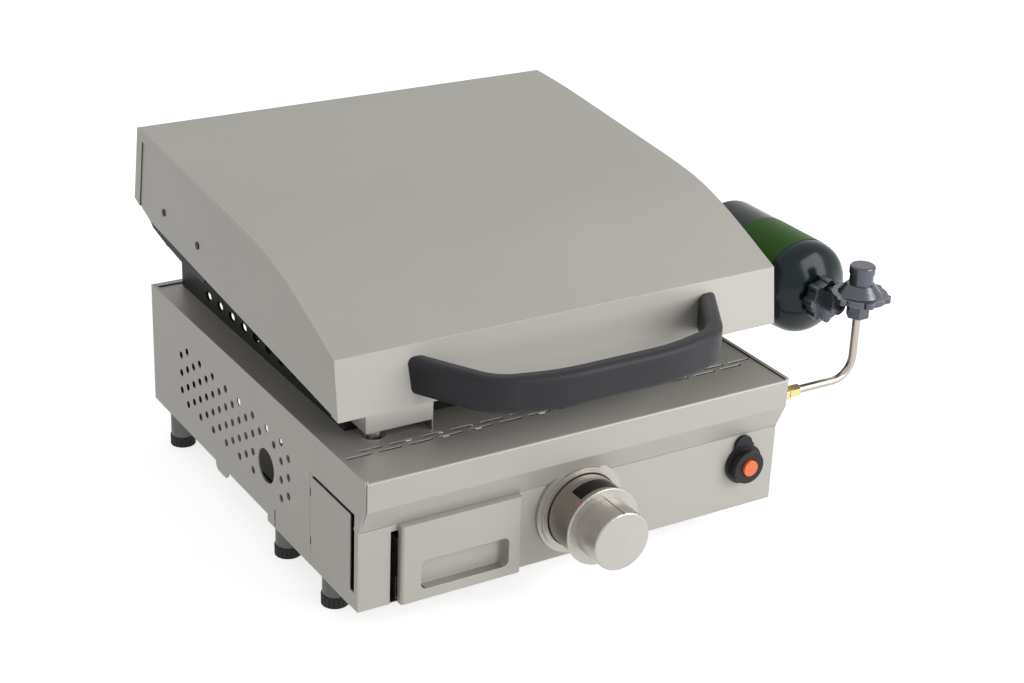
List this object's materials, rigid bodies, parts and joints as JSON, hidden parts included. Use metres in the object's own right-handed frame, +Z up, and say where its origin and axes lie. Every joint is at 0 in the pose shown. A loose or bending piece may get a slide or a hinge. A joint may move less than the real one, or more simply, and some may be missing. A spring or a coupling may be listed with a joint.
{
  "type": "tabletop gas griddle",
  "caption": "Tabletop gas griddle with a tilting hood, lift-off steel plate, drip drawer, turning gas knob, push igniter and a screw-on gas cylinder at the side.",
  "frame": {"origin": "middle of the body's footprint, on the plane through the undersides of the rubber feet", "axes": "+X to the right when facing the knobs (gas side), +Y to the back, +Z up"},
  "size_m": [0.6076, 0.5756, 0.353],
  "materials": {
    "chalk_paint": "satin",
    "bare_steel": "satin",
    "burner_steel": "satin",
    "pipe_steel": "satin",
    "satin_metal": "satin",
    "dark_metal": "satin",
    "cast_metal": "cast",
    "black_steel": "satin",
    "seasoned_steel": "satin",
    "brass": "satin",
    "regulator_metal": "cast",
    "handle_plastic": "matte",
    "black_plastic": "satin",
    "scale_black": "gloss",
    "orange_plastic": "satin",
    "green_paint": "gloss",
    "green_label": "gloss",
    "rubber": "matte"
  },
  "bodies": {
    "base": {"side_wall_left": "chalk_paint", "side_wall_right": "chalk_paint", "rear_wall": "chalk_paint", "top_deck": "chalk_paint", "control_panel": "chalk_paint", "side_plate_left": "chalk_paint", "side_plate_right": "chalk_paint", "control_box": "bare_steel", "bottom_shield": "bare_steel", "drawer_rails": "bare_steel", "foot_nuts": "bare_steel", "knob_bezel": "satin_metal", "gas_valve": "cast_metal", "igniter_bezel": "black_plastic", "igniter_body": "black_plastic", "igniter_nut": "black_plastic", "burner": "burner_steel", "burner_brackets": "bare_steel", "electrode": "bare_steel", "inner_pipe": "pipe_steel", "pipe_fitting": "brass", "gas_pipe": "pipe_steel", "regulator_nut": "regulator_metal", "regulator_body": "regulator_metal", "regulator_cap": "regulator_metal", "regulator_wheel": "regulator_metal"},
    "griddle": {"griddle_guard": "black_steel", "griddle_plate": "seasoned_steel", "grease_chute": "bare_steel", "hinge_pins": "black_steel"},
    "hood": {"hood_top": "chalk_paint", "hood_side_left": "chalk_paint", "hood_side_right": "chalk_paint", "hinge_bracket_left": "black_steel", "hinge_bracket_right": "black_steel", "hood_screws": "black_steel", "hood_handle": "handle_plastic"},
    "drawer": {"drawer_pan": "bare_steel", "drawer_front": "chalk_paint"},
    "stem": {"valve_stem": "bare_steel"},
    "knob": {"knob_drum": "dark_metal", "scale_window": "scale_black", "knob_ring": "satin_metal", "knob_cap": "satin_metal"},
    "button": {"igniter_button": "orange_plastic"},
    "cylinder": {"tank": "green_paint", "tank_label": "green_label", "tank_neck": "bare_steel"},
    "foot_front_left": {"foot_stud_front_left": "bare_steel", "foot_pad_front_left": "rubber"},
    "foot_middle_left": {"foot_stud_middle_left": "bare_steel", "foot_pad_middle_left": "rubber"},
    "foot_rear_left": {"foot_stud_rear_left": "bare_steel", "foot_pad_rear_left": "rubber"},
    "foot_front_right": {"foot_stud_front_right": "bare_steel", "foot_pad_front_right": "rubber"},
    "foot_middle_right": {"foot_stud_middle_right": "bare_steel", "foot_pad_middle_right": "rubber"},
    "foot_rear_right": {"foot_stud_rear_right": "bare_steel", "foot_pad_rear_right": "rubber"}
  },
  "joints": [
    {"name": "griddle_lift", "type": "slide", "parent": "base", "child": "griddle", "axis": [0, 0, 1], "range_m": [0, 0.1]},
    {"name": "hood_hinge", "type": "hinge", "parent": "griddle", "child": "hood", "pos_m": [0, 0.2235, 0.248], "axis": [-1, 0, 0], "range_deg": [0, 95]},
    {"name": "drawer_slide", "type": "slide", "parent": "base", "child": "drawer", "axis": [0, -1, 0], "range_m": [0, 0.16]},
    {"name": "stem_push", "type": "slide", "parent": "base", "child": "stem", "axis": [0, 1, 0], "range_m": [0, 0.003], "stiffness_N_per_m": 900, "springref_m": -0.004},
    {"name": "knob_turn", "type": "hinge", "parent": "stem", "child": "knob", "pos_m": [0, -0.2565, 0.0885], "axis": [0, -1, 0], "range_deg": [0, 270]},
    {"name": "igniter_push", "type": "slide", "parent": "base", "child": "button", "axis": [0, 1, 0], "range_m": [0, 0.003], "stiffness_N_per_m": 400, "springref_m": -0.004},
    {"name": "cylinder_slide", "type": "slide", "parent": "base", "child": "cylinder", "axis": [0, 1, 0], "range_m": [0, 0.06]},
    {"name": "foot_turn_front_left", "type": "hinge", "parent": "base", "child": "foot_front_left", "pos_m": [-0.217, -0.1515, 0.02], "axis": [0, 0, 1], "continuous": true},
    {"name": "foot_turn_middle_left", "type": "hinge", "parent": "base", "child": "foot_middle_left", "pos_m": [-0.217, -0.0485, 0.02], "axis": [0, 0, 1], "continuous": true},
    {"name": "foot_turn_rear_left", "type": "hinge", "parent": "base", "child": "foot_rear_left", "pos_m": [-0.217, 0.2155, 0.02], "axis": [0, 0, 1], "continuous": true},
    {"name": "foot_turn_front_right", "type": "hinge", "parent": "base", "child": "foot_front_right", "pos_m": [0.217, -0.1515, 0.02], "axis": [0, 0, 1], "continuous": true},
    {"name": "foot_turn_middle_right", "type": "hinge", "parent": "base", "child": "foot_middle_right", "pos_m": [0.217, -0.0485, 0.02], "axis": [0, 0, 1], "continuous": true},
    {"name": "foot_turn_rear_right", "type": "hinge", "parent": "base", "child": "foot_rear_right", "pos_m": [0.217, 0.2155, 0.02], "axis": [0, 0, 1], "continuous": true}
  ]
}
